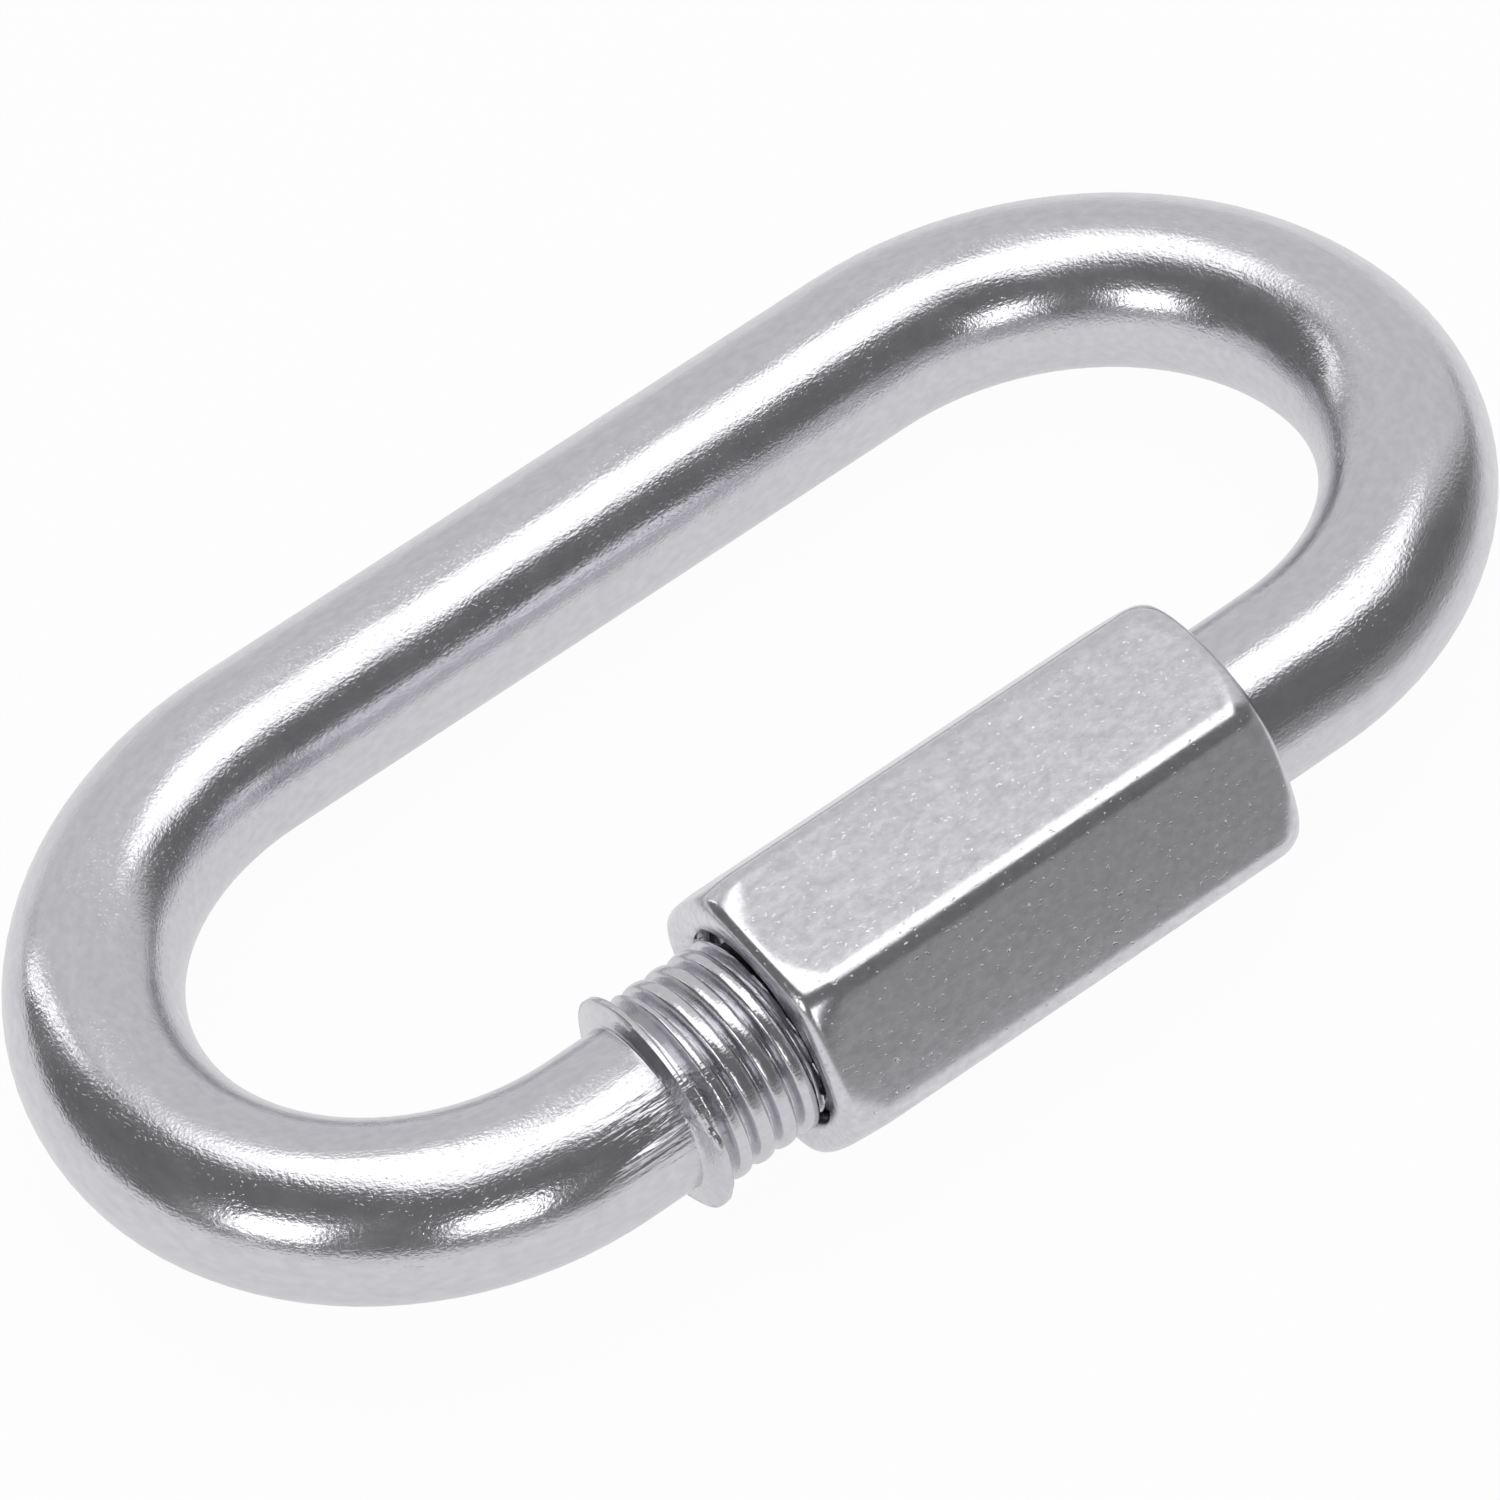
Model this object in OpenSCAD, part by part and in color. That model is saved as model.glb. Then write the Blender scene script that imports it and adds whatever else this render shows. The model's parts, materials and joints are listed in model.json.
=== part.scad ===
// Chain quick link: a bent rod with a threaded mouth, closed by a long hexagonal sleeve nut.
// Units are millimetres. The link lies at rest: X runs along its legs, Z is up, the floor is z = 0.

/* [Bent rod] */
// Diameter of the rod
rod_d = 5; // [4:0.1:7]
// Clear length inside the loop
inside_len = 36.2; // [33:0.1:50]
// Clear width inside the loop, between the two legs
inside_w = 13.5; // [12:0.1:16]
// Centreline radius of the bends next to the mouth's leg, a little tighter than those of the plain leg
mouth_bend_r = 8.7; // [7:0.1:10]

/* [Stop collar] */
// Plain rod between the first bend and the collar
collar_setback = 1.45; // [0.2:0.05:2.5]
// Length of the collar's sloping flank
collar_flank = 0.4; // [0.2:0.05:1]
// Width of the collar's blunt crest
collar_crest = 0.2; // [0.1:0.05:0.5]
// Height of the collar above the rod
collar_rise = 0.8; // [0.5:0.05:1]
// Narrow neck between the collar and the first ridge of the thread
collar_neck = 0.6; // [0.2:0.05:1]

/* [Rolled thread] */
// Height of the thread's crests above the rod
thread_rise = 0.45; // [0.2:0.05:0.6]
// Depth of the thread from crest to root
thread_depth = 0.3; // [0.2:0.05:0.5]
// Distance from one crest to the next
thread_pitch = 0.75; // [0.5:0.05:1.25]
// Threaded length beyond the collar's neck, on the short end
short_thread = 3.4; // [3.1:0.1:5]
// Width of the mouth between the two threaded ends
mouth_w = 5; // [4.1:0.1:6]
// Plain rod between the long end's thread and the second bend
long_setback = 3.7; // [1:0.1:5]
// Bevel on the two ends of the rod
tip_bevel = 0.4; // [0.1:0.05:0.6]

/* [Sleeve nut] */
// Wall of the nut, from its bore to a flat
nut_wall = 0.9; // [0.7:0.05:2]
// Radial clearance between the thread's crests and the nut's bore
nut_clearance = 0.1; // [0.05:0.05:0.3]
// Distance from the collar to the nut where it lies
nut_back = 3.25; // [0.5:0.05:3.6]
// Straight leg left bare between the nut and the second bend
nut_room = 2.9; // [1:0.1:4]
// How far the nut's six long edges are blunted
edge_blunt = 0.08; // [0.05:0.01:0.3]
// How far the bevel at the collar's end cuts in from the long edges
collar_end_bevel = 0.3; // [0.1:0.05:0.6]
// How far the bevel at the plain end cuts in from the long edges
plain_end_bevel = 0.6; // [0.1:0.05:0.8]
// Length of the end bevels along the nut's long edges
bevel_len = 0.6; // [0.3:0.05:1]
// Countersink at each end of the bore
countersink = 0.2; // [0.1:0.05:0.6]
// Turn of the nut away from lying on one of its flats, in degrees
nut_turn = 6; // [0:1:15]

/* [Hidden] */
$fn = 96;

rod_r = rod_d / 2;
legs_apart = inside_w + rod_d;
plain_bend_r = legs_apart - mouth_bend_r;
crowns_apart = inside_len + rod_d;
plain_leg_len = crowns_apart - 2 * plain_bend_r;
mouth_leg_len = crowns_apart - 2 * mouth_bend_r;

// Places along the two threaded ends, each measured from its bend
collar_end = collar_setback + collar_flank + collar_crest;
short_thread_start = collar_end + collar_neck;
short_end_len = short_thread_start + short_thread;
long_end_len = mouth_leg_len - short_end_len - mouth_w;

collar_r = rod_r + collar_rise;
crest_r = rod_r + thread_rise;
root_r = crest_r - thread_depth;

// Sleeve nut: a hexagon with blunted edges and domed end bevels round a plain bore
bore_r = crest_r + nut_clearance;
flat_r = bore_r + nut_wall;
edge_r = flat_r / cos(30) - edge_blunt;
nut_x = -mouth_leg_len / 2 + collar_end + nut_back;
nut_len = mouth_leg_len / 2 - nut_room - nut_x;
blunt_from = acos(flat_r / edge_r);
over = 1;

// At rest the nut's lower edge and the plain leg both touch the floor, so the loop leans a little
nut_axis_z = edge_r * cos(blunt_from - nut_turn);
nut_reach_y = edge_r * cos(max(0, nut_turn - 30 + blunt_from));
lean = asin((nut_axis_z - rod_r) / legs_apart);
loop_z = rod_r + plain_bend_r * sin(lean);
loop_y = ((mouth_bend_r - plain_bend_r) * cos(lean) + nut_reach_y - rod_r) / 2;
nut_axis_y = loop_y - mouth_bend_r * cos(lean);

// Turns the Z axis of a revolved shape to lie along X
module along_x() {
    rotate([0, 90, 0]) children();
}

// Places the loop, drawn flat about the line between its crowns, as it lies at rest
module at_rest() {
    translate([0, loop_y, loop_z]) rotate([-lean, 0, 0]) children();
}

// A quarter bend of the rod from the crown at +X round to the end of a leg of that length
module quarter_bend(radius, leg_len) {
    translate([leg_len / 2, 0, 0]) rotate_extrude(angle = 90)
        translate([radius, 0]) circle(r = rod_r);
}

// The whole bend at +X: one quarter to the plain leg, one to the mouth's leg
module bend() {
    quarter_bend(plain_bend_r, plain_leg_len);
    mirror([0, 1, 0]) quarter_bend(mouth_bend_r, mouth_leg_len);
}

// Outline points of whole thread ridges that start at axial place z0
function ridges(z0, turns) = [
    for (i = [0:turns - 1])
    for (step = [[root_r, 0.06], [crest_r, 0.2], [crest_r, 0.8], [root_r, 0.94]])
    [step[0], z0 + (i + step[1]) * thread_pitch]
];

// Threaded end of the rod, revolved about Z from its bend at z = 0 to its bevelled tip.
// The thread starts at thread_start, and lead holds the outline between plain rod and thread.
module threaded_end(thread_start, end_len, lead) {
    turns = floor((end_len - thread_start) / thread_pitch);
    rotate_extrude() polygon(concat(
        [[0, 0], [rod_r, 0]],
        lead,
        ridges(thread_start, turns),
        [[root_r, end_len - tip_bevel], [root_r - tip_bevel, end_len], [0, end_len]]
    ));
}

// The bent rod: plain leg, two bends, and the leg that the mouth divides
module link_body() color([0.78, 0.78, 0.8]) at_rest() {
    translate([-plain_leg_len / 2, plain_bend_r, 0]) along_x() cylinder(r = rod_r, h = plain_leg_len);
    bend();
    mirror([1, 0, 0]) bend();
    translate([-mouth_leg_len / 2, -mouth_bend_r, 0]) along_x()
        threaded_end(short_thread_start, short_end_len, [
            [rod_r, collar_setback],
            [collar_r, collar_setback + collar_flank],
            [collar_r, collar_end],
            [root_r, collar_end]
        ]);
    translate([mouth_leg_len / 2, -mouth_bend_r, 0]) mirror([1, 0, 0]) along_x()
        threaded_end(long_setback, long_end_len, [[rod_r, long_setback]]);
}

// Hexagonal bar whose six long edges are rounded off
module nut_bar() {
    intersection() {
        rotate([0, 0, 30]) cylinder(r = flat_r / cos(30), h = nut_len, $fn = 6);
        cylinder(r = edge_r, h = nut_len);
    }
}

// What a domed bevel takes off the end at z = 0, leaving a face of that radius
module end_cut(face_r) {
    dome_z = (edge_r * edge_r - face_r * face_r + bevel_len * bevel_len) / (2 * bevel_len);
    dome_r = norm([face_r, dome_z]);
    difference() {
        translate([0, 0, -over]) cylinder(r = edge_r + over, h = bevel_len + over);
        translate([0, 0, dome_z]) sphere(r = dome_r);
    }
}

// Through bore of the nut
module nut_bore() {
    translate([0, 0, -over]) cylinder(r = bore_r, h = nut_len + 2 * over);
}

// The long hexagonal nut that closes the mouth
module sleeve_nut() color([0.7, 0.7, 0.72])
    translate([nut_x, nut_axis_y, nut_axis_z]) rotate([nut_turn, 0, 0]) along_x() difference() {
        nut_bar();
        nut_bore();
        for (end = [0, 1]) translate([0, 0, end * nut_len]) mirror([0, 0, end]) {
            end_cut(edge_r - [collar_end_bevel, plain_end_bevel][end]);
            cylinder(r1 = bore_r + countersink, r2 = bore_r, h = countersink);
        }
    }

link_body();
sleeve_nut();
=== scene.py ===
import json
import math

import bpy
from mathutils import Matrix, Vector


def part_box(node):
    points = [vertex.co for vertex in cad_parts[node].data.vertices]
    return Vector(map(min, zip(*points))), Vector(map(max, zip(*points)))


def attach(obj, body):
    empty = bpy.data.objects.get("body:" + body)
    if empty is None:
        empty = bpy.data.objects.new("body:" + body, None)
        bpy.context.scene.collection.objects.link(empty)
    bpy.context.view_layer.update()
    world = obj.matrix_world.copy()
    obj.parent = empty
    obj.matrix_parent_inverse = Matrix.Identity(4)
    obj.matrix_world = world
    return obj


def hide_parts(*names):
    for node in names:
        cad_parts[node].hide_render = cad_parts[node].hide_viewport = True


# A zinc plated chain quick link at rest on a white floor, with its sleeve nut part of the way open.
# Sizes are named in metres and angles in degrees. The rod is modelled flat, about the line between its
# two crowns, and its mesh is then laid where the part lies.
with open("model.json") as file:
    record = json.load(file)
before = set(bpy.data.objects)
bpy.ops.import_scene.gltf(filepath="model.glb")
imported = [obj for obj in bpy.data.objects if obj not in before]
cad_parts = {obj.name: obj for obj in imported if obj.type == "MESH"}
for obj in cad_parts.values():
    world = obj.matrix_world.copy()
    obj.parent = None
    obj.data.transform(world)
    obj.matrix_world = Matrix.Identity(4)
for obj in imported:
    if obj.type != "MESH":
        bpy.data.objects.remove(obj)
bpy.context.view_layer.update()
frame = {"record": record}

MM = 0.001

# Lengths that differ by less than SAME count as the same, and points closer than MERGE become one
SAME = 0.01 * MM
MERGE = 0.0005 * MM
# Edges that turn by more than this stay sharp
SHARP_ANGLE = 75

# Bent rod
ROD_R = 2.5 * MM
INSIDE_W = 13.5 * MM
ROD_SIDES = 180
BEND_STEPS = 24

# Stop collar, whose lip winds round the rod once and overlaps itself at a seam. Its flank rises from
# root to crest by the power COLLAR_HOLLOW.
COLLAR_ROOT = 1.6 * MM
COLLAR_MIDDLE = 1.95 * MM
COLLAR_CREST = 0.08 * MM
COLLAR_FALL = 0.16 * MM
COLLAR_R = 3.28 * MM
COLLAR_HOLLOW = 1.35
COLLAR_SEAM = 155
SEAM_PINCH = 0.24 * MM
SEAM_SPREAD = 5
# How far the lip stands along the leg from the collar's middle, in millimetres, by degrees past the seam
LIP_WANDER = (
    (0, -0.06), (10, -0.01), (18, -0.01), (38, -0.04), (75, -0.13),
    (150, -0.15), (255, -0.12), (340, -0.17), (352, -0.18), (360, -0.06),
)

# The burr that runs up to the collar's seam, on the straight rod: along it, outward from the loop and up
BURR_MIDDLE = Vector((-40.7, 2.2, 1.19)) * MM
BURR_REACH = Vector((1.4, 0.14, 0.14)) * MM
BURR_RISE = 0.12 * MM

# Rolled thread, with broad crests and narrow grooves
THREAD_CREST_R = 2.95 * MM
THREAD_ROOT_R = 2.54 * MM
THREAD_PITCH = 0.75 * MM
THREAD_STEP = 0.04 * MM
# One place on the helix of the crests: its distance from the bend and its angle round the leg
CREST_FROM_BEND = 4.07 * MM
CREST_ANGLE = 132
# How much of the thread's height a crest loses from its middle to that of the groove
CREST_DOME = 0.32
# Where a flank starts and ends, on the way from the middle of a crest at 0 to that of a groove at 1
FLANK_FROM = 0.5
FLANK_TO = 0.98
TIP_BEVEL = 0.4 * MM
SHORT_THREAD_FROM = 2.3 * MM
SHORT_END_LEN = 6.05 * MM
LONG_THREAD_FROM = 3.7 * MM
MOUTH_W = 5 * MM
# How far before and after its start each thread takes to come up from the plain rod
SHORT_THREAD_BEFORE = 0.1 * MM
SHORT_THREAD_AFTER = 0.25 * MM
LONG_THREAD_BEFORE = 0.2 * MM
LONG_THREAD_AFTER = 0.4 * MM
# How far the finely divided mesh goes on past the collar's root and past the long end's thread
COLLAR_MARGIN = 0.1 * MM
LONG_THREAD_MARGIN = 0.3 * MM

# Sleeve nut, tumbled so that every edge is soft
NUT_SIDES = 240
# Half the angle that one flat takes up, in radians
HALF_FLAT = math.radians(30)
NUT_WALL = 0.9 * MM
NUT_LONG_EDGE_ROUND = 0.72 * MM
NUT_END_EDGE_ROUND = 0.34 * MM
NUT_BEVEL_BLEND = 0.5 * MM
NUT_BEVEL_LEN = 0.6 * MM
NUT_COLLAR_END_BEVEL = 0.3 * MM
NUT_PLAIN_END_BEVEL = 0.55 * MM
NUT_COUNTERSINK = 0.2 * MM
NUT_END_RINGS = 20
NUT_END_REACH = 1.2 * MM
INNER_THREAD_DEPTH = 0.27 * MM
INNER_THREAD_STEP = 0.0625 * MM
# How far the nut stands askew in the play of its thread
NUT_ASKEW = 0.3

# Where the part lies, from its mounts
mounts = {mount["name"]: Vector(mount["pos_m"]) for mount in frame["record"]["mounts"]}
loop_place = (mounts["collar_end_bow"] + mounts["plain_end_bow"]) / 2
crown_x = (mounts["plain_end_bow"].x - mounts["collar_end_bow"].x) / 2 + ROD_R
nut_middle = (mounts["upper_nut_flat"] + mounts["lower_nut_flat"]) / 2
flats_across = mounts["upper_nut_flat"] - mounts["lower_nut_flat"]
nut_low, nut_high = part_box("sleeve_nut")

mouth_bend_r = math.hypot(nut_middle.y - loop_place.y, nut_middle.z - loop_place.z)
plain_bend_r = INSIDE_W + 2 * ROD_R - mouth_bend_r
lean = math.atan2(nut_middle.z - loop_place.z, loop_place.y - nut_middle.y)
plain_leg_half = crown_x - plain_bend_r
mouth_leg_half = crown_x - mouth_bend_r
short_tip_x = SHORT_END_LEN - mouth_leg_half
long_tip_x = short_tip_x + MOUTH_W
long_thread_end_x = mouth_leg_half - LONG_THREAD_FROM
short_thread_x = SHORT_THREAD_FROM - mouth_leg_half
collar_x = COLLAR_MIDDLE - mouth_leg_half
collar_root_x = COLLAR_ROOT - mouth_leg_half

flat_r = flats_across.length / 2
flat_angle = math.degrees(math.atan2(flats_across.z, flats_across.y))
edge_r = flat_r / math.cos(HALF_FLAT) - NUT_LONG_EDGE_ROUND * (1 / math.cos(HALF_FLAT) - 1)
bore_r = flat_r - NUT_WALL


def select_none():
    bpy.ops.object.select_all(action="DESELECT")


def smooth_step(low, high, value):
    """Rises from 0 at low to 1 at high, level at both ends."""
    t = min(max((value - low) / (high - low), 0), 1)
    return t * t * (3 - 2 * t)


def soft_min(a, b, width):
    """The smaller of two lengths, with the corner between them rounded over that width."""
    t = max(width - abs(a - b), 0) / width
    return min(a, b) - t * t * width / 4


def along_table(table, value):
    """Straight-line reading between the rows of a short table."""
    for (left, low), (right, high) in zip(table, table[1:]):
        if value <= right:
            return low + (high - low) * (value - left) / (right - left)
    return table[-1][1]


def ring_round_x(name, sides, radius, place):
    """A new object that is one ring of edges round the X direction."""
    select_none()
    bpy.ops.mesh.primitive_circle_add(
        vertices=sides, radius=radius, fill_type="NOTHING", location=place, rotation=(0, math.pi / 2, 0)
    )
    piece = bpy.context.object
    piece.name = name
    piece.data.name = name
    bpy.ops.object.transform_apply(location=True, rotation=True, scale=True)
    bpy.ops.object.mode_set(mode="EDIT")
    bpy.ops.mesh.select_all(action="SELECT")
    return piece


def extrude_along_x(length):
    bpy.ops.mesh.extrude_region_move(TRANSFORM_OT_translate={"value": (length, 0, 0)})


def bend_quarter(centre_x):
    bpy.ops.mesh.spin(steps=BEND_STEPS, angle=math.pi / 2, center=(centre_x, 0, 0), axis=(0, 0, 1))


def divide_lengthwise(piece, wanted, cuts):
    """Cuts the edges that wanted picks, by their two ends, into short lengths."""
    bpy.ops.mesh.select_all(action="DESELECT")
    bpy.ops.mesh.select_mode(type="EDGE")
    bpy.ops.object.mode_set(mode="OBJECT")
    points = piece.data.vertices
    for edge in piece.data.edges:
        edge.select = wanted(points[edge.vertices[0]].co, points[edge.vertices[1]].co)
    bpy.ops.object.mode_set(mode="EDIT")
    bpy.ops.mesh.subdivide(number_cuts=cuts)


def close_and_face_out():
    """Fills open ends and turns every face outwards, then leaves edit mode."""
    bpy.ops.mesh.select_all(action="SELECT")
    bpy.ops.mesh.remove_doubles(threshold=MERGE)
    bpy.ops.mesh.fill_holes(sides=0)
    bpy.ops.mesh.select_all(action="SELECT")
    bpy.ops.mesh.normals_make_consistent(inside=False)
    bpy.ops.object.mode_set(mode="OBJECT")


def thread_ridge(turn):
    """Height of a rolled thread from root 0 to crest 1, by turns from the middle of a crest."""
    from_crest = 2 * abs((turn + 0.5) % 1 - 0.5)
    return (1 - CREST_DOME * from_crest ** 2) * (1 - smooth_step(FLANK_FROM, FLANK_TO, from_crest))


def collar_height(x, angle):
    """Height of the collar's lip from 0 to 1 at a place on the short end."""
    past_seam = (angle - COLLAR_SEAM) % 360
    crest_x = collar_x + along_table(LIP_WANDER, past_seam) * MM
    if x < crest_x - COLLAR_CREST:
        rise = (x - collar_root_x) / (crest_x - COLLAR_CREST - collar_root_x)
        return min(max(rise, 0), 1) ** COLLAR_HOLLOW
    if x > crest_x + COLLAR_CREST:
        return 1 - smooth_step(0, COLLAR_FALL, x - crest_x - COLLAR_CREST)
    return 1


def threaded_radius(x, angle, fade, tip_gap):
    """Radius of a threaded end. Fade is 0 on plain rod and 1 on full thread."""
    turn = (x + mouth_leg_half - CREST_FROM_BEND) / THREAD_PITCH - (angle - CREST_ANGLE) / 360
    ridge = THREAD_ROOT_R + (THREAD_CREST_R - THREAD_ROOT_R) * thread_ridge(turn)
    radius = ROD_R + (ridge - ROD_R) * fade
    return min(radius, THREAD_ROOT_R - TIP_BEVEL + tip_gap)


def short_end_radius(x, angle):
    """Radius of the short end, with its collar."""
    fade = smooth_step(short_thread_x - SHORT_THREAD_BEFORE, short_thread_x + SHORT_THREAD_AFTER, x)
    radius = threaded_radius(x, angle, fade, short_tip_x - x)
    past_seam = (angle - COLLAR_SEAM + 180) % 360 - 180
    lip_r = COLLAR_R - SEAM_PINCH * math.exp(-((past_seam / SEAM_SPREAD) ** 2))
    return max(radius, ROD_R + (lip_r - ROD_R) * collar_height(x, angle))


def long_end_radius(x, angle):
    """Radius of the long end, whose thread runs out before the bend."""
    fade = smooth_step(long_thread_end_x + LONG_THREAD_BEFORE, long_thread_end_x - LONG_THREAD_AFTER, x)
    return threaded_radius(x, angle, fade, x - long_tip_x)


def shape_threaded_ends(piece):
    """Rolls the two threads and the collar on to the straight ends at the mouth."""
    for point in piece.data.vertices:
        x, y, z = point.co
        if y > 0 or abs(x) >= mouth_leg_half - SAME:
            continue
        out_y = y + mouth_bend_r
        angle = math.degrees(math.atan2(z, out_y))
        now = math.hypot(out_y, z)
        wanted = short_end_radius(x, angle) if x < 0 and x <= short_tip_x else long_end_radius(x, angle)
        point.co.y = out_y * wanted / now - mouth_bend_r
        point.co.z = z * wanted / now


def unbent(point):
    """The point as it lay on the straight rod: along the rod, outward from the loop, and up."""
    x, y, z = point
    bend_r, leg_half = (plain_bend_r, plain_leg_half) if y >= 0 else (mouth_bend_r, mouth_leg_half)
    past_leg = max(abs(x) - leg_half, 0)
    turned = math.atan2(past_leg, abs(y))
    along = min(abs(x), leg_half) + bend_r * turned
    if y < 0:
        crown = plain_leg_half + mouth_leg_half + (plain_bend_r + mouth_bend_r) * math.pi / 2
        along = crown - along
    return math.copysign(along, x), math.hypot(past_leg, y) - bend_r, z


def store_unbent(piece):
    """Keeps the straight rod's coordinates on the mesh, for the marks that follow the rod."""
    kept = piece.data.attributes.new("unbent", "FLOAT_VECTOR", "POINT")
    for point, entry in zip(piece.data.vertices, kept.data):
        entry.vector = unbent(point.co)


def raise_burr(piece):
    """Lifts the thin burr that rolling left in front of the collar's seam."""
    for point in piece.data.vertices:
        place = Vector(unbent(point.co)) - BURR_MIDDLE
        far = Vector(gap / reach for gap, reach in zip(place, BURR_REACH)).length
        if far < 1:
            middle = Vector((max(point.co.x, -mouth_leg_half), 0, 0))
            outward = Vector((point.co.x - middle.x, point.co.y, 0)).normalized()
            axis = middle + outward * mouth_bend_r
            point.co += (point.co - axis).normalized() * BURR_RISE * (1 - far)


def make_link_rod():
    """One rod from the short tip round both bends to the long tip."""
    piece = ring_round_x("bent_rod", ROD_SIDES, ROD_R, (short_tip_x, -mouth_bend_r, 0))
    rolled_short = short_tip_x - collar_root_x + COLLAR_MARGIN
    rolled_long = long_thread_end_x + LONG_THREAD_MARGIN - long_tip_x
    plain_short = short_tip_x + mouth_leg_half - rolled_short
    extrude_along_x(-rolled_short)
    extrude_along_x(-plain_short)
    bend_quarter(-mouth_leg_half)
    bend_quarter(-plain_leg_half)
    extrude_along_x(2 * plain_leg_half)
    bend_quarter(plain_leg_half)
    bend_quarter(mouth_leg_half)
    extrude_along_x(long_tip_x + rolled_long - mouth_leg_half)
    extrude_along_x(-rolled_long)
    for length in (rolled_short, plain_short, rolled_long):
        divide_lengthwise(
            piece,
            lambda a, b: a.y < 0 and b.y < 0 and abs(abs(a.x - b.x) - length) < SAME,
            round(length / THREAD_STEP),
        )
    close_and_face_out()
    shape_threaded_ends(piece)
    store_unbent(piece)
    raise_burr(piece)
    piece.data.transform(Matrix.Translation(loop_place) @ Matrix.Rotation(-lean, 4, "X"))
    select_none()
    piece.select_set(True)
    bpy.ops.object.shade_smooth_by_angle(angle=math.radians(SHARP_ANGLE))
    return piece


def hexagon_reach(angle):
    """Distance from the nut's axis to its side, on a hexagon with round long edges."""
    from_edge = math.radians(abs((angle - flat_angle) % 60 - 30))
    round_r = NUT_LONG_EDGE_ROUND
    round_middle = (flat_r - round_r) / math.cos(HALF_FLAT)
    round_ends = math.atan2(round_r * math.sin(HALF_FLAT), round_middle + round_r * math.cos(HALF_FLAT))
    if from_edge > round_ends:
        return flat_r / math.cos(HALF_FLAT - from_edge)
    across = round_middle * math.sin(from_edge)
    return round_middle * math.cos(from_edge) + math.sqrt(round_r ** 2 - across ** 2)


def nut_outside(angle, depth, end_bevel):
    """Radius of the nut's outside at a depth from its end, with the bevel and the round end edge."""
    bevel = edge_r - end_bevel * max(1 - depth / NUT_BEVEL_LEN, -1)
    reach = soft_min(bevel, hexagon_reach(angle), NUT_BEVEL_BLEND)
    left = NUT_END_EDGE_ROUND - min(max(depth, 0), NUT_END_EDGE_ROUND)
    return reach - NUT_END_EDGE_ROUND + math.sqrt(NUT_END_EDGE_ROUND ** 2 - left ** 2)


def nut_outline():
    """Half section of the nut as (x, radius), from the bore at one end over the outside to the other."""
    end = [(NUT_COUNTERSINK, bore_r), (0, bore_r + NUT_COUNTERSINK)]
    end += [(NUT_END_REACH * (i / NUT_END_RINGS) ** 2, edge_r) for i in range(NUT_END_RINGS + 1)]
    return [(nut_low.x + x, r) for x, r in end] + [(nut_high.x - x, r) for x, r in reversed(end)]


def shape_flats_and_bore(piece):
    """Mills the six flats, rounds the ends and cuts the inner thread."""
    for point in piece.data.vertices:
        out_y = point.co.y - nut_middle.y
        out_z = point.co.z - nut_middle.z
        now = math.hypot(out_y, out_z)
        angle = math.degrees(math.atan2(out_z, out_y))
        from_collar_end = point.co.x - nut_low.x
        depth = min(from_collar_end, nut_high.x - point.co.x)
        wanted = now
        if now > flat_r:
            end_bevel = NUT_COLLAR_END_BEVEL if from_collar_end == depth else NUT_PLAIN_END_BEVEL
            wanted = nut_outside(angle, depth, end_bevel)
        elif depth > NUT_COUNTERSINK + SAME:
            turn = from_collar_end / THREAD_PITCH - angle / 360
            cut = INNER_THREAD_DEPTH * smooth_step(NUT_COUNTERSINK, 2 * NUT_COUNTERSINK, depth)
            wanted = bore_r + cut * (1 - thread_ridge(turn))
        point.co.y = nut_middle.y + out_y * wanted / now
        point.co.z = nut_middle.z + out_z * wanted / now


def make_sleeve_nut():
    """The long nut, extruded ring by ring from its outline and closed through the bore."""
    outline = nut_outline()
    axis = Vector((0, nut_middle.y, nut_middle.z))
    x, radius = outline[0]
    piece = ring_round_x("long_nut", NUT_SIDES, radius, axis + Vector((x, 0, 0)))
    for next_x, next_radius in outline[1:]:
        extrude_along_x(next_x - x)
        scale = next_radius / radius
        bpy.ops.transform.resize(value=(1, scale, scale), center_override=axis + Vector((next_x, 0, 0)))
        x, radius = next_x, next_radius
    bpy.ops.mesh.select_all(action="DESELECT")
    bpy.ops.mesh.select_mode(type="EDGE")
    bpy.ops.mesh.select_non_manifold()
    bpy.ops.mesh.bridge_edge_loops()
    bore_len = outline[-1][0] - outline[0][0]
    divide_lengthwise(
        piece,
        lambda a, b: abs(abs(a.x - b.x) - bore_len) < SAME,
        round(bore_len / INNER_THREAD_STEP),
    )
    close_and_face_out()
    shape_flats_and_bore(piece)
    pivot = Matrix.Translation((nut_high.x, nut_middle.y, 0))
    piece.data.transform(pivot @ Matrix.Rotation(-math.radians(NUT_ASKEW), 4, "Z") @ pivot.inverted())
    select_none()
    piece.select_set(True)
    bpy.ops.object.shade_smooth_by_angle(angle=math.radians(SHARP_ANGLE))
    return piece


# Finishes: cells per metre of each pattern, along the rod or nut and twice across it, and depths of relief
PLATING_COLOUR = (0.64, 0.634, 0.668)
# The span in which most values of a pattern lie
MID_TONES = (0.3, 0.7)

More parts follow.
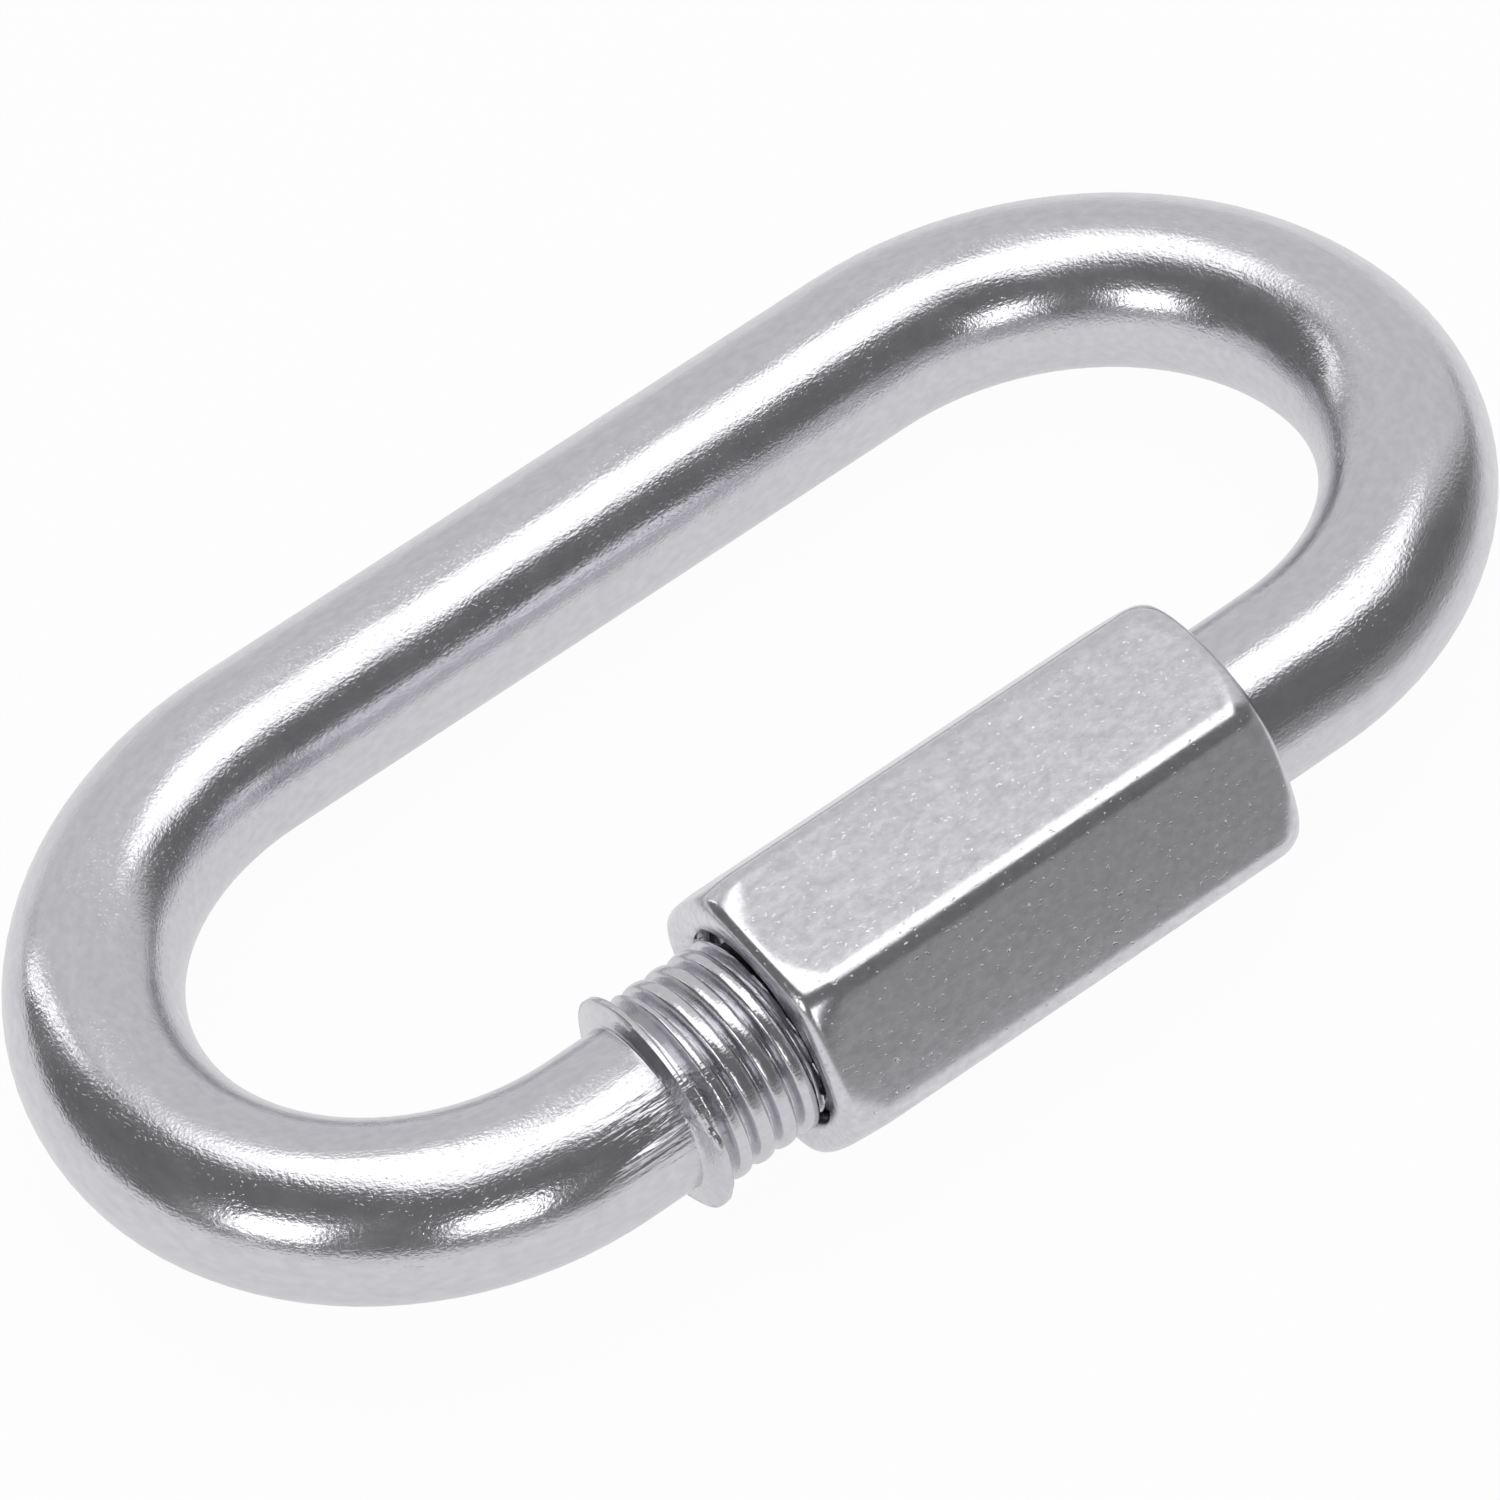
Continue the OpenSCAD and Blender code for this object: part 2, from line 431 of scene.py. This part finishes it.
ROD_PEEL_CELLS = (700, 1300, 1300)
ROD_PEEL_DEPTH = 0.008 * MM
ROD_MARK_CELLS = (350, 8000, 8000)
ROD_MARK_DEPTH = 0.004 * MM
ROD_GRAIN_CELLS = (8500, 12000, 12000)
ROD_GRAIN_DEPTH = 0.008 * MM
ROD_SPECK_CELLS = (9000, 13000, 13000)
ROD_SPECK_TONES = (0.66, 0.76)
ROD_SPECK_DEPTH = 0.0035 * MM
ROD_PATCH_CELLS = (300, 500, 500)
ROD_PATCH_TONES = (0.4, 0.65)
ROD_STAIN_CELLS = (2400, 3600, 3600)
ROD_STAIN_SHADES = (0.95, 1.05)
ROD_ROUGHNESS = (0.16, 0.24)
# The scuffed place in front of the collar's seam, on the straight rod like the burr
SCUFF_MIDDLE = Vector((-40.9, 2, 1.6)) * MM
SCUFF_REACH = Vector((2.4, 1.4, 1.4)) * MM
SCUFF_CELLS = (900, 6500, 6500)
SCUFF_DEPTH = 0.11 * MM

NUT_MOTTLE_CELLS = (1500, 2500, 2500)
NUT_MOTTLE_TONES = (0.35, 0.65)
NUT_MOTTLE_DEPTH = 0.0015 * MM
NUT_GRAIN_CELLS = (10000, 11000, 11000)
NUT_GRAIN_DEPTH = 0.002 * MM
NUT_SPECK_CELLS = (6000, 8000, 8000)
NUT_SPECK_TONES = (0.69, 0.78)
NUT_SPECK_DEPTH = 0.009 * MM
NUT_STAIN_CELLS = (3200, 4400, 4400)
NUT_STAIN_SHADES = (0.95, 1.13)
NUT_ROUGHNESS = (0.19, 0.25)


def new_finish(name):
    """A bare metal finish. Returns it with its node tree and its shader."""
    finish = bpy.data.materials.new(name)
    finish.use_nodes = True
    tree = finish.node_tree
    shader = tree.nodes["Principled BSDF"]
    shader.inputs["Metallic"].default_value = 1
    return finish, tree, shader


def noise(tree, source, cells, detail):
    """An uneven pattern, with its cells per metre set apart for each direction."""
    mapping = tree.nodes.new("ShaderNodeMapping")
    mapping.inputs["Scale"].default_value = cells
    tree.links.new(source, mapping.inputs["Vector"])
    texture = tree.nodes.new("ShaderNodeTexNoise")
    texture.inputs["Scale"].default_value = 1
    texture.inputs["Detail"].default_value = detail
    tree.links.new(mapping.outputs["Vector"], texture.inputs["Vector"])
    return texture.outputs["Fac"]


def remap(tree, source, span, to_span):
    """The value moved from one span to another, and held at its ends."""
    node = tree.nodes.new("ShaderNodeMapRange")
    for socket, value in zip(("From Min", "From Max", "To Min", "To Max"), (*span, *to_span)):
        node.inputs[socket].default_value = value
    tree.links.new(source, node.inputs["Value"])
    return node.outputs["Result"]


def joined(tree, operation, first, second):
    """The product of two values, or the larger of them."""
    node = tree.nodes.new("ShaderNodeMath")
    node.operation = operation
    tree.links.new(first, node.inputs[0])
    tree.links.new(second, node.inputs[1])
    return node.outputs[0]


def spot(tree, source, middle, reach):
    """A soft spot on the surface: 1 at its middle, and 0 at that reach along each direction."""
    place = tree.nodes.new("ShaderNodeMapping")
    place.vector_type = "TEXTURE"
    place.inputs["Location"].default_value = middle
    place.inputs["Scale"].default_value = reach
    tree.links.new(source, place.inputs["Vector"])
    far = tree.nodes.new("ShaderNodeVectorMath")
    far.operation = "LENGTH"
    tree.links.new(place.outputs["Vector"], far.inputs[0])
    return remap(tree, far.outputs["Value"], (0, 1), (1, 0))


def bump(tree, height, depth, below=None):
    """Relief of that depth, on top of the relief below."""
    node = tree.nodes.new("ShaderNodeBump")
    node.inputs["Strength"].default_value = 1
    node.inputs["Distance"].default_value = depth
    tree.links.new(height, node.inputs["Height"])
    if below is not None:
        tree.links.new(below, node.inputs["Normal"])
    return node.outputs["Normal"]


def stain(tree, shader, shade):
    """Colours the plating, darker or lighter by that shade."""
    colour = tree.nodes.new("ShaderNodeVectorMath")
    colour.operation = "SCALE"
    colour.inputs[0].default_value = PLATING_COLOUR
    tree.links.new(shade, colour.inputs["Scale"])
    tree.links.new(colour.outputs["Vector"], shader.inputs["Base Color"])


def drawn_rod_plating():
    """Bright plating over drawn rod: softly uneven, with draw marks, grain, specks, stains and scuffs."""
    finish, tree, shader = new_finish("bright plating on drawn rod")
    source = tree.nodes.new("ShaderNodeAttribute")
    source.attribute_name = "unbent"
    along = source.outputs["Vector"]
    marks = noise(tree, along, ROD_MARK_CELLS, 3)
    peel = noise(tree, along, ROD_PEEL_CELLS, 2)
    grain = noise(tree, along, ROD_GRAIN_CELLS, 2)
    specks = remap(tree, noise(tree, along, ROD_SPECK_CELLS, 0), ROD_SPECK_TONES, (0, 1))
    patches = remap(tree, noise(tree, along, ROD_PATCH_CELLS, 1), ROD_PATCH_TONES, (0, 1))
    burr = spot(tree, along, BURR_MIDDLE, BURR_REACH)
    scuffed = spot(tree, along, SCUFF_MIDDLE, SCUFF_REACH)
    scuffs = noise(tree, along, SCUFF_CELLS, 3)
    normal = bump(tree, peel, ROD_PEEL_DEPTH)
    normal = bump(tree, marks, ROD_MARK_DEPTH, normal)
    normal = bump(tree, grain, ROD_GRAIN_DEPTH, normal)
    normal = bump(tree, joined(tree, "MULTIPLY", specks, patches), ROD_SPECK_DEPTH, normal)
    normal = bump(tree, joined(tree, "MULTIPLY", scuffs, scuffed), SCUFF_DEPTH, normal)
    # The burr stands up in the mesh, and this sharpens its glint
    normal = bump(tree, burr, BURR_RISE, normal)
    tree.links.new(normal, shader.inputs["Normal"])
    tree.links.new(remap(tree, peel, MID_TONES, ROD_ROUGHNESS), shader.inputs["Roughness"])
    stains = noise(tree, along, ROD_STAIN_CELLS, 4)
    stain(tree, shader, remap(tree, stains, MID_TONES, ROD_STAIN_SHADES))
    return finish


def tumbled_nut_plating():
    """Satin plating on the nut, with a faint mottle, grain, stains and fine specks from tumbling."""
    finish, tree, shader = new_finish("satin plating on the nut")
    source = tree.nodes.new("ShaderNodeTexCoord")
    place = source.outputs["Object"]
    mottle = noise(tree, place, NUT_MOTTLE_CELLS, 3)
    grain = noise(tree, place, NUT_GRAIN_CELLS, 2)
    specks = remap(tree, noise(tree, place, NUT_SPECK_CELLS, 1), NUT_SPECK_TONES, (1, 0))
    normal = bump(tree, mottle, NUT_MOTTLE_DEPTH)
    normal = bump(tree, grain, NUT_GRAIN_DEPTH, normal)
    normal = bump(tree, specks, NUT_SPECK_DEPTH, normal)
    tree.links.new(normal, shader.inputs["Normal"])
    tree.links.new(remap(tree, mottle, NUT_MOTTLE_TONES, NUT_ROUGHNESS), shader.inputs["Roughness"])
    stains = noise(tree, place, NUT_STAIN_CELLS, 4)
    stain(tree, shader, remap(tree, stains, MID_TONES, NUT_STAIN_SHADES))
    return finish


# Studio: directions are azimuths from +X towards +Y and elevations above the floor
FLOOR_R = 1.5
FLOOR_SIDES = 96
# The sheet's edge lies this far from the origin, towards its azimuth, and fades into the table
SHEET_EDGE_AZIMUTH = -60
SHEET_EDGE = 26 * MM
SHEET_FADE = 5 * MM
SHEET_WHITE = 0.88
TABLE_GREY = 0.46
# How far the floor's own shade gives way to white, for the camera and where the metal mirrors it
SEEN_LIFT = 0.96
MIRRORED_LIFT = 0.72
# The room is dim, and its lighter backdrop fades in between two cosines of the angle from its middle
ROOM_SHADE = 0.18
BACKDROP_SHADE = 0.74
BACKDROP = (52, 18)
BACKDROP_EDGE = (0.58, 0.72)
# Overhead lamps, each between two corners in lamp heights, and three lamps round the link
LAMP_HEIGHT = 0.4
OVERHEAD = ((0.17, -0.5), (1, 0.24))
LONG_OVERHEAD = ((-0.3, -0.3), (0.17, 0.75))
OVERHEAD_RADIANCE = 1.6
LAMP_FAR = 0.45
LAMP_SIZE = (0.162, 0.162)
STRIP_SIZE = (0.027, 0.27)
LAMP_RADIANCE = 2.6
FRONT_LAMP = (-112, 21)
SIDE_LAMP = (-168, 22)
STRIP_LAMP = (109, 22)


def towards(azimuth, elevation):
    """The direction of that azimuth and elevation, of length 1."""
    a, e = math.radians(azimuth), math.radians(elevation)
    return Vector((math.cos(a) * math.cos(e), math.sin(a) * math.cos(e), math.sin(e)))


def soft_lamp(name, place, size, radiance):
    """A rectangular soft lamp of even radiance that faces the link."""
    lamp = bpy.data.lights.new(name, "AREA")
    lamp.shape = "RECTANGLE"
    lamp.size, lamp.size_y = size
    lamp.energy = radiance * math.pi * size[0] * size[1]
    holder = bpy.data.objects.new(name, lamp)
    bpy.context.scene.collection.objects.link(holder)
    facing = (-place).to_track_quat("-Z", "Y").to_matrix().to_4x4()
    holder.matrix_world = Matrix.Translation(place) @ facing
    holder.visible_camera = False
    return holder


def overhead_lamp(name, across, radiance):
    """A soft lamp that hangs level over the link, between two corners in lamp heights."""
    (left, near), (right, far) = across
    middle = Vector(((left + right) / 2, (near + far) / 2, 1)) * LAMP_HEIGHT
    holder = soft_lamp(name, middle, ((right - left) * LAMP_HEIGHT, (far - near) * LAMP_HEIGHT), radiance)
    holder.matrix_world = Matrix.Translation(middle)


def make_floor():
    """A white sheet on a grey table. The camera sees both as white, with a little of the link's shadow."""
    select_none()
    bpy.ops.mesh.primitive_circle_add(vertices=FLOOR_SIDES, radius=FLOOR_R, fill_type="NGON")
    floor = bpy.context.object
    floor.name = "floor"
    finish = bpy.data.materials.new("white sheet on a grey table")
    finish.use_nodes = True
    tree = finish.node_tree
    tree.nodes.clear()
    source = tree.nodes.new("ShaderNodeTexCoord")
    far = tree.nodes.new("ShaderNodeVectorMath")
    far.operation = "DOT_PRODUCT"
    far.inputs[1].default_value = towards(SHEET_EDGE_AZIMUTH, 0)
    tree.links.new(source.outputs["Object"], far.inputs[0])
    edge = far.outputs["Value"], (SHEET_EDGE - SHEET_FADE, SHEET_EDGE + SHEET_FADE)
    rays = tree.nodes.new("ShaderNodeLightPath")
    mirrored = joined(tree, "MAXIMUM", rays.outputs["Is Glossy Ray"], rays.outputs["Is Transmission Ray"])
    seen = remap(tree, rays.outputs["Is Camera Ray"], (0, 1), (0, SEEN_LIFT))
    shown = joined(tree, "MULTIPLY", mirrored, remap(tree, *edge, (MIRRORED_LIFT, 0)))
    paint = tree.nodes.new("ShaderNodeBsdfDiffuse")
    tree.links.new(remap(tree, *edge, (SHEET_WHITE, TABLE_GREY)), paint.inputs["Color"])
    glow = tree.nodes.new("ShaderNodeEmission")
    mix = tree.nodes.new("ShaderNodeMixShader")
    tree.links.new(joined(tree, "MAXIMUM", seen, shown), mix.inputs["Fac"])
    tree.links.new(paint.outputs["BSDF"], mix.inputs[1])
    tree.links.new(glow.outputs["Emission"], mix.inputs[2])
    output = tree.nodes.new("ShaderNodeOutputMaterial")
    tree.links.new(mix.outputs["Shader"], output.inputs["Surface"])
    floor.data.materials.append(finish)


def make_room():
    """The dim room round the studio, with its lighter backdrop. The camera sees it as white."""
    world = bpy.data.worlds.new("dim room")
    bpy.context.scene.world = world
    world.use_nodes = True
    tree = world.node_tree
    background = tree.nodes["Background"]
    source = tree.nodes.new("ShaderNodeTexCoord")
    facing = tree.nodes.new("ShaderNodeVectorMath")
    facing.operation = "DOT_PRODUCT"
    facing.inputs[1].default_value = towards(*BACKDROP)
    tree.links.new(source.outputs["Generated"], facing.inputs[0])
    shade = remap(tree, facing.outputs["Value"], BACKDROP_EDGE, (ROOM_SHADE, BACKDROP_SHADE))
    rays = tree.nodes.new("ShaderNodeLightPath")
    seen = joined(tree, "MAXIMUM", shade, rays.outputs["Is Camera Ray"])
    tree.links.new(seen, background.inputs["Color"])


def make_studio():
    make_floor()
    make_room()
    overhead_lamp("overhead lamp", OVERHEAD, OVERHEAD_RADIANCE)
    overhead_lamp("long overhead lamp", LONG_OVERHEAD, OVERHEAD_RADIANCE)
    soft_lamp("front lamp", towards(*FRONT_LAMP) * LAMP_FAR, LAMP_SIZE, LAMP_RADIANCE)
    soft_lamp("side lamp", towards(*SIDE_LAMP) * LAMP_FAR, LAMP_SIZE, LAMP_RADIANCE)
    soft_lamp("strip lamp", towards(*STRIP_LAMP) * LAMP_FAR, STRIP_SIZE, LAMP_RADIANCE)


# Camera: where the middle of the image lies, and the direction, roll and distance it is seen from. The
# lens and the sensor are in millimetres.
AIM = Vector((-0.871, -0.303, 4)) * MM
CAMERA_AZIMUTH = -119.3
CAMERA_ELEVATION = 51.043
CAMERA_ROLL = -10.056
CAMERA_FAR = 238.85 * MM
CAMERA_LENS = 209.1
CAMERA_SENSOR_W = 36
CAMERA_NEAR = 10 * MM


def make_camera():
    view = bpy.data.cameras.new("camera")
    view.lens = CAMERA_LENS
    view.sensor_width = CAMERA_SENSOR_W
    view.clip_start = CAMERA_NEAR
    holder = bpy.data.objects.new("camera", view)
    bpy.context.scene.collection.objects.link(holder)
    back = towards(CAMERA_AZIMUTH, CAMERA_ELEVATION)
    facing = (-back).to_track_quat("-Z", "Y").to_matrix().to_4x4()
    roll = Matrix.Rotation(math.radians(CAMERA_ROLL), 4, "Z")
    holder.matrix_world = Matrix.Translation(AIM + back * CAMERA_FAR) @ facing @ roll
    bpy.context.scene.camera = holder


rod = make_link_rod()
rod.data.materials.append(drawn_rod_plating())
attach(rod, "link")
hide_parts("link_body")

nut = make_sleeve_nut()
nut.data.materials.append(tumbled_nut_plating())
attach(nut, "nut")
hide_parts("sleeve_nut")

make_studio()
make_camera()
bpy.context.scene.view_settings.view_transform = "Standard"
